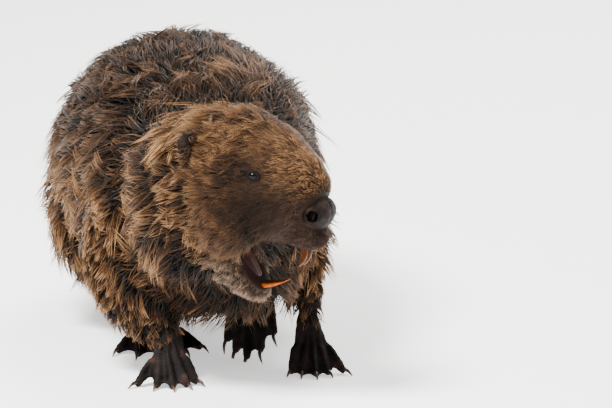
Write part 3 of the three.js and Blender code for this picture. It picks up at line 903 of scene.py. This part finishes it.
# %% Eye material
# A wet eye is smooth over a nearly black iris and pupil, so it is dark with one small sharp highlight.
eyeball, tree, shader = new_material("wet dark eye", Roughness=0.1, Specular_IOR_Level=0.12)
from_pupil = add_node(tree, "Attribute", {"attribute_name": "from_pupil"}, output="Fac")
iris_stops = ((0.3, "#020202"), (0.36, "#0B0705"), (0.6, "#160E09"), (0.68, "#040303"))
iris = add_node(tree, "ValToRGB", stops=iris_stops, Fac=from_pupil)
wire(shader, Base_Color=iris)

# %% Eyeballs and their rims
EYE_RADIUS = 5.0
RIM = {"major_radius": 4.9, "minor_radius": 1.7, "major_segments": 40, "minor_segments": 12}
GAZE = (0.94, 0.30, 0.12)
EYE_SUNK = 1.0  # how far the ball is drawn back from the solid's place
CORNEA_BULGE = 0.5
RIM_FORWARD = 2.3  # how far the rim lies in front of the ball's middle
for name, sign in (("left", 1), ("right", -1)):
    gaze = (GAZE[0] * sign, GAZE[1], GAZE[2])
    at = np.array(in_head(middle_of(f"eye_{name}"))) - np.array(gaze) * EYE_SUNK
    ball = sphere(f"eyeball_{name}", (EYE_RADIUS, EYE_RADIUS, EYE_RADIUS), 32, 24)
    co = points_of(ball.data)
    front_share = np.clip(co[:, 2] / EYE_RADIUS, 0, 1)
    co[:, 2] += CORNEA_BULGE * front_share**6
    set_points(ball.data, co)
    set_attribute(ball.data, "from_pupil", np.arccos(np.clip(co[:, 2] / EYE_RADIUS, -1, 1)) / (math.pi / 2))
    place_on_head(ball, at, facing(gaze))
    finish_piece(ball, eyeball, "eye", f"eye_{name}")

    rim = started(f"eye_rim_{name}", bpy.ops.mesh.primitive_torus_add, **RIM)
    bpy.ops.transform.resize(value=(1.12, 0.86, 1.0))
    bpy.ops.object.transform_apply(scale=True)
    set_attribute(rim.data, "bare", np.ones(len(rim.data.vertices)))
    place_on_head(rim, at + np.array(gaze) * RIM_FORWARD, facing(gaze))
    finish_piece(rim, hide, "ear_skin")

# %% [markdown]
# ## Nose
# The nose is a broad, moist, pebbled pad with a nostril opening to each side. It starts as a ball with a
# groove down its middle. Each nostril is a patch of faces that is inset, first a little outwards as a rim
# and then deep inwards. Subdivision rounds it all off.


# %% Nose
def select_faces(piece, wanted):
    """Selects the faces whose middle passes a test, and leaves the piece in edit mode."""
    only(piece)
    bpy.ops.object.mode_set(mode="EDIT")
    bpy.ops.mesh.select_mode(type="FACE")
    bpy.ops.mesh.select_all(action="DESELECT")
    bpy.ops.object.mode_set(mode="OBJECT")
    for face in piece.data.polygons:
        face.select = wanted(face.center)
    bpy.ops.object.mode_set(mode="EDIT")


NOSTRIL_RADIUS = 6.8
nose = sphere("nose_pad", tuple(PAD_SIZES), 44, 30)
co = points_of(nose.data)
co[:, 1] -= 1.0 * np.exp(-((co[:, 0] / 1.7) ** 2)) * ramp(co[:, 1], 2, 12)  # the groove
co[:, 1] -= 1.6 * ramp(co[:, 1], 9, 19)  # a flatter front
co *= 1 + 0.045 * np.exp(-(((off_nostril(co) - 7.5) / 2.5) ** 2))[:, None]  # nostril rims
co *= 1 + 0.018 * wander(co, 11, 5)[:, None] + 0.012 * wander(co, 5, 6)[:, None]  # soft bumps
set_points(nose.data, co)
for sign in (1, -1):
    hole = Vector((NOSTRIL_AT.x * sign, NOSTRIL_AT.y, NOSTRIL_AT.z))
    select_faces(nose, lambda middle: (middle - hole).length < NOSTRIL_RADIUS)
    for thickness, outwards in ((0.7, 0.5), (0.4, -1.0), (0.3, -4.0), (0.3, -5.0)):
        bpy.ops.mesh.inset(thickness=thickness, depth=outwards, use_even_offset=False)
    bpy.ops.object.mode_set(mode="OBJECT")
apply_modifier(nose, "SUBSURF", levels=1, render_levels=1)
co = points_of(nose.data)
# How deep in a nostril each point lies; there the colour is painted nearly black, as painted shade in the
# hollow.
deep = 1 - ramp(off_nostril(co), 5.2, 6.6)
set_attribute(nose.data, "inside", deep)
place_on_head(nose, PAD_AT)

# Moist, thick, pebbled skin. It is brownish black, a little warmer in patches where blood shows through.
# Inside the nostrils it is painted nearly black, as painted shade in the hollows.
pebbled, tree, shader = new_material("moist pebbled nose skin", Roughness=0.5, Specular_IOR_Level=0.06)
here = add_node(tree, "TexCoord", output="Object")
PEBBLE = 1.5 * MM
mottle = add_node(tree, "TexNoise", Vector=here, Scale=0.5 / (7 * MM), Detail=3.0)
tone_stops = ((0.3, "#0B0807"), (0.5, "#1A1310"), (0.7, "#3A2722"))
skin_tone = add_node(tree, "ValToRGB", stops=tone_stops, Fac=mottle)
# Painted shade: the inside of each nostril is painted nearly black.
tone = covered(tree, skin_tone, "inside", linear("#020101"))
wire(shader, Base_Color=tone)
pebbles = add_node(tree, "TexVoronoi", {"feature": "DISTANCE_TO_EDGE"}, Vector=here, Scale=0.7 / PEBBLE)
round_top = add_node(tree, "MapRange", Value=pebbles, From_Max=0.3)
relief = add_node(tree, "Bump", Height=round_top, Strength=0.9, Distance=0.6 * MM)
wire(shader, Normal=relief)
finish_piece(nose, pebbled, "nose_skin", "nose")

# %% [markdown]
# ## Teeth, tongue and claws
# These keep the solids' shapes and are rounded by subdivision, from merged copies. A beaver's front teeth
# have orange enamel in front, hard with iron, and softer, duller dentine behind, which is paler in life; the
# back faces are painted dark brown here, as painted shade inside the mouth.


# %% Rounded copies of solids
def rounded(node, name):
    piece = copy_of(node, name)
    apply_modifier(piece, "SUBSURF", levels=2, render_levels=2)
    bpy.ops.object.shade_smooth()
    return piece


def share_from(piece, start):
    """For each point, how far along the piece it is from a start, from 0 to 1."""
    away = np.linalg.norm(points_of(piece.data) - np.array(start), axis=1)
    return (away - away.min()) / (away.max() - away.min())


# %% Teeth
# Enamel is glassy and hard. The stain is darker on the upper pair and varies in fine upright streaks.
enamel, tree, shader = new_material("iron stained enamel", Roughness=0.3, Specular_IOR_Level=0.05)
here = add_node(tree, "TexCoord", output="Object")
streaks = add_node(tree, "TexNoise", Vector=here, Scale=0.5 / (1.5 * MM), Detail=4.0)
lower_stain = add_node(tree, "ValToRGB", stops=((0.3, "#7A2F04"), (0.7, "#B85608")), Fac=streaks)
upper_stain = add_node(tree, "ValToRGB", stops=((0.3, "#321501"), (0.7, "#542502")), Fac=streaks)
colour = lower_stain
# The dark brown on the back faces (behind) is painted shade inside the mouth, not the dentine's own colour.
for name, cover in (("upper", upper_stain), ("worn", linear("#80501E")), ("behind", linear("#38200C"))):
    colour = covered(tree, colour, name, cover)
wire(shader, Base_Color=colour)
for row, upper in (("upper", 1.0), ("lower", 0.0)):
    for name in ("left", "right"):
        node = f"{row}_incisor_{name}"
        tooth = rounded(node, f"{row}_tooth_{name}")
        facing_forward = normals_of(tooth.data) @ (head_axes[1] if upper else -head_axes[2])
        root_end = from_head((0, 20, -50)) if upper else from_head((0, -20, -125))
        set_attribute(tooth.data, "upper", np.full(len(tooth.data.vertices), upper))
        # The faces that point backwards get the painted shade of the mouth.
        set_attribute(tooth.data, "behind", ramp(facing_forward, -0.5, -0.8))
        set_attribute(tooth.data, "worn", 0.4 * ramp(share_from(tooth, root_end), 0.93, 1.0))
        finish_piece(tooth, enamel, "tooth_enamel", node)

# %% Tongue
# Wet flesh, rough with small papillae, so its gleam is broken up.
gleam = {"Roughness": 0.4, "Specular_IOR_Level": 0.3}
wet_flesh, tree, shader = new_material("wet tongue", Subsurface_Weight=0.1, **gleam)
here = add_node(tree, "TexCoord", output="Object")
PAPILLA = 1.0 * MM
patches = add_node(tree, "TexNoise", Vector=here, Scale=0.5 / (6 * MM), Detail=3.0)
redness = add_node(tree, "ValToRGB", stops=((0.3, "#240D0B"), (0.7, "#401A16")), Fac=patches)
wire(shader, Base_Color=redness)
papillae = add_node(tree, "TexVoronoi", Vector=here, Scale=0.7 / PAPILLA)
relief = add_node(tree, "Bump", {"invert": True}, Height=papillae, Strength=0.5, Distance=0.3 * MM)
wire(shader, Normal=relief)
tongue = rounded("tongue", "tongue_flesh")
co = in_head(points_of(tongue.data))
TONGUE_SUNK, GROOVE_WIDTH = 4.0, 3.0
co[:, 0] *= 0.85
co[:, 2] -= TONGUE_SUNK + 1.5 * np.exp(-((co[:, 0] / GROOVE_WIDTH) ** 2))
set_points(tongue.data, from_head(co))
finish_piece(tongue, wet_flesh, "tongue", "tongue")

# %% Claws
# Polished dark horn with fine lengthwise streaks, paler where the tip has worn thin.
horn, tree, shader = new_material("dark claw horn", Roughness=0.3, Specular_IOR_Level=0.3)
here = add_node(tree, "TexCoord", output="Object")
along_claw = add_node(tree, "Attribute", {"attribute_name": "along_claw"}, output="Fac")
horn_stops = ((0.0, "#120D0B"), (0.55, "#2B1D15"), (0.85, "#5A4030"), (1.0, "#7B5F49"))
horn_colour = add_node(tree, "ValToRGB", stops=horn_stops, Fac=along_claw)
fibres = add_node(tree, "TexNoise", Vector=here, Scale=0.5 / (1.0 * MM), Detail=4.0)
streak = add_node(tree, "MapRange", Value=fibres, To_Min=0.7, To_Max=1.3)
streaked = add_node(tree, "HueSaturation", Value=streak, Color=horn_colour)
wire(shader, Base_Color=streaked)
for end, name in FEET:
    names = [f"{end}_claw_{name}_{i}" for i in range(1, 6)]
    claws = [rounded(node, node + "_horn") for node in names]
    for claw in claws:
        set_attribute(claw.data, "along_claw", share_from(claw, middle_of(f"{end}_foot_{name}")))
    finish_piece(join(claws, f"{end}_claws_{name}"), horn, "claw_horn", *names)

# %% [markdown]
# ## Whiskers
# Stiff bristles stand out from the sides of the muzzle and sag a little. They are long, thin, sparse locks.

# %% Whiskers
WHISKERS, WHISKER_LENGTH, WHISKER_HALF_WIDTH = 34, 42 * MM, 0.3 * MM
bristles = Roots(WHISKERS, near((27, 40, -44), 9) * (side > 12) * (on_face > 0.5))
t = np.linspace(0, 1, 9)[None, :, None]
outwards = bristles.out * 0.7 - head_axes[1] * 0.65 - head_axes[2] * 0.15
outwards = unit(outwards + rng.normal(0, 0.14, (WHISKERS, 3)))
reach = (WHISKER_LENGTH * rng.uniform(0.55, 1.1, WHISKERS))[:, None, None]
whisker_lines = bristles.place[:, None] + outwards[:, None] * reach * t
whisker_lines[:, :, 2] -= (0.22 * reach * t**2)[:, :, 0]
widths = np.full(WHISKERS, WHISKER_HALF_WIDTH)
whiskers = lock_mesh("whiskers", bristles, whisker_lines, widths, np.arange(WHISKERS))
finish_piece(whiskers, guard_hair, "face_coat")

# %% [markdown]
# ## The scales of the tail
# Rows of small horny plates cover the blade of the tail, each tucked under the one before it. One plate is
# modelled, a six-sided disc whose top is drawn in, and copied over the skin in staggered rows, tipped up a
# little towards the end of the tail.

# %% One scale
plate = started("plate", bpy.ops.mesh.primitive_cylinder_add, vertices=6, radius=1, depth=1)
select_faces(plate, lambda middle: middle.z > 0.4)
bpy.ops.transform.resize(value=(0.7, 0.7, 1))
bpy.ops.object.mode_set(mode="OBJECT")
plate_points = points_of(plate.data)
plate_faces = [list(face.vertices) for face in plate.data.polygons]
bpy.data.objects.remove(plate)
print("one scale:", len(plate_faces), "faces")

# %% Scales over the tail
ROW_PITCH, PLATE_PITCH = 5.0 * MM, 6.2 * MM
PLATE_SIZE = np.array([3.4, 3.3, 0.75]) * MM
TIP_UP = math.radians(7)
UNEVEN = 0.25  # how far scales stray from their rows, in mm
skin_surface = BVHTree.FromPolygons(points.tolist(), triangles.tolist())
tail_low, tail_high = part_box("tail_blade")


def scales():
    """Each scale's middle, its directions across, along and out, and its place on the unwrap."""
    for row, y in enumerate(np.arange(tail_low.y, tail_high.y, ROW_PITCH)):
        shift = PLATE_PITCH / 2 * (row % 2)
        for x in np.arange(tail_low.x + shift, tail_high.x, PLATE_PITCH):
            for z, down in ((0.2, -1), (-0.2, 1)):
                spot = (x + rng.normal(0, UNEVEN) * MM, y + rng.normal(0, UNEVEN) * MM, z)
                hit, out, index, _ = skin_surface.ray_cast(Vector(spot), Vector((0, 0, down)))
                if hit is None or tail[triangles[index]].min() < 0.6 or out.z * down > -0.35:
                    continue
                along = (Vector((0, 1, 0)) - out * out.y).normalized()
                along = (along + out * math.tan(TIP_UP)).normalized()
                across = along.cross(out).normalized()
                yield hit, across, along, across.cross(along), unwrap[index].mean(0)


co, places = [], []
for hit, across, along, out, place in scales():
    frame_of_scale = np.array([across, along, out])
    size = PLATE_SIZE * rng.uniform(0.9, 1.1)
    co.append(np.array(hit) + (plate_points * size) @ frame_of_scale)
    places.append(place)
count, per_plate = len(co), len(plate_points)
faces = [[v + i * per_plate for v in face] for i in range(count) for face in plate_faces]
mesh = bpy.data.meshes.new("tail_scales")
co = np.concatenate(co)
co[:, 2] = np.maximum(co[:, 2], 0.05 * MM)
mesh.from_pydata(co.tolist(), [], faces)
set_attribute(mesh, "shade", np.repeat(rng.random(count), per_plate))
on_plate = plate_points[:, :2] * PATCH / 2
spots = np.array([place + spot for place in places for spot in on_plate])
corners = table(mesh.loops, "vertex_index", 1, np.int32)[:, 0]
mesh.uv_layers.new(name="OFBake").uv.foreach_set("vector", spots[corners].astype(np.float32).ravel())
tail_scales = add_object("tail_scales", mesh)
turn_faces_out(tail_scales)
print("scales:", count)

# Horny scale: dull dark grey-brown, worn smooth and a little glossy on the raised middle, wet in life.
scale_horn, tree, shader = new_material("horny tail scale", Roughness=0.45, Specular_IOR_Level=0.25)
here = add_node(tree, "TexCoord", output="Object")
wide = add_node(tree, "TexNoise", Vector=here, Scale=0.5 / (25 * MM), Detail=3.0)
own = add_node(tree, "Attribute", {"attribute_name": "shade"}, output="Fac")
patchy = add_node(tree, "Mix", i0=0.5, i2=wide, i3=own)
scale_stops = ((0.2, "#12100F"), (0.5, "#221E1C"), (0.8, "#39322C"))
scale_colour = add_node(tree, "ValToRGB", stops=scale_stops, Fac=patchy)
wire(shader, Base_Color=scale_colour)
grain = add_node(tree, "TexNoise", Vector=here, Scale=0.5 / (0.8 * MM), Detail=4.0)
relief = add_node(tree, "Bump", Height=grain, Strength=0.4, Distance=0.3 * MM)
wire(shader, Normal=relief)
finish_piece(tail_scales, scale_horn, "tail_scales")
